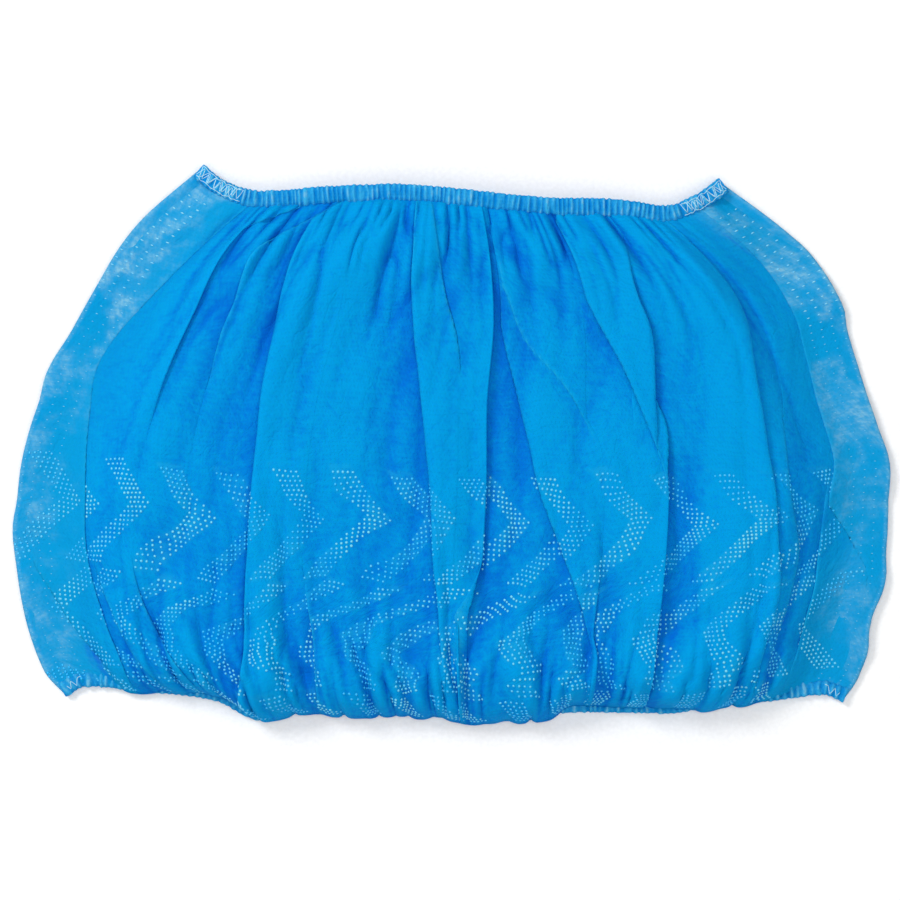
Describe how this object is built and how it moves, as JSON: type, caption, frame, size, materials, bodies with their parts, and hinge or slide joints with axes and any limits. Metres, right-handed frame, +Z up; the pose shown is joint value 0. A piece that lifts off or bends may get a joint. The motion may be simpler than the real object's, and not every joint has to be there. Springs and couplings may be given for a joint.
{
  "type": "disposable shoe cover",
  "caption": "Disposable non-woven overshoe lying flat: a gathered cloth pouch with an elastic mouth, an elastic sole and dotted non-slip chevrons.",
  "frame": {"origin": "middle of the laid overshoe's outline, on the surface that it lies on", "axes": "+X along the sole from the left end weld to the right one, +Y from the sole towards the mouth, +Z up from the surface"},
  "size_m": [0.2443, 0.1546, 0.0188],
  "materials": {
    "nonwoven_cloth": "light-blue spunbonded polypropylene with a fine bond-dot pattern, a little see-through",
    "opening_casing": "the same cloth folded over a thin elastic and gathered",
    "sole_casing": "the same cloth gathered over an elastic along the sole fold",
    "tread_dots": "small raised dots of soft glossy adhesive",
    "weld_marks": "cloth pressed thin and glossy by the welding wheel",
    "elastic_thread": "thin white elastic thread"
  },
  "bodies": {
    "root": {"pouch": "nonwoven_cloth", "upper_opening_elastic": "opening_casing", "lower_opening_elastic": "opening_casing", "sole_elastic": "sole_casing"}
  },
  "joints": []
}
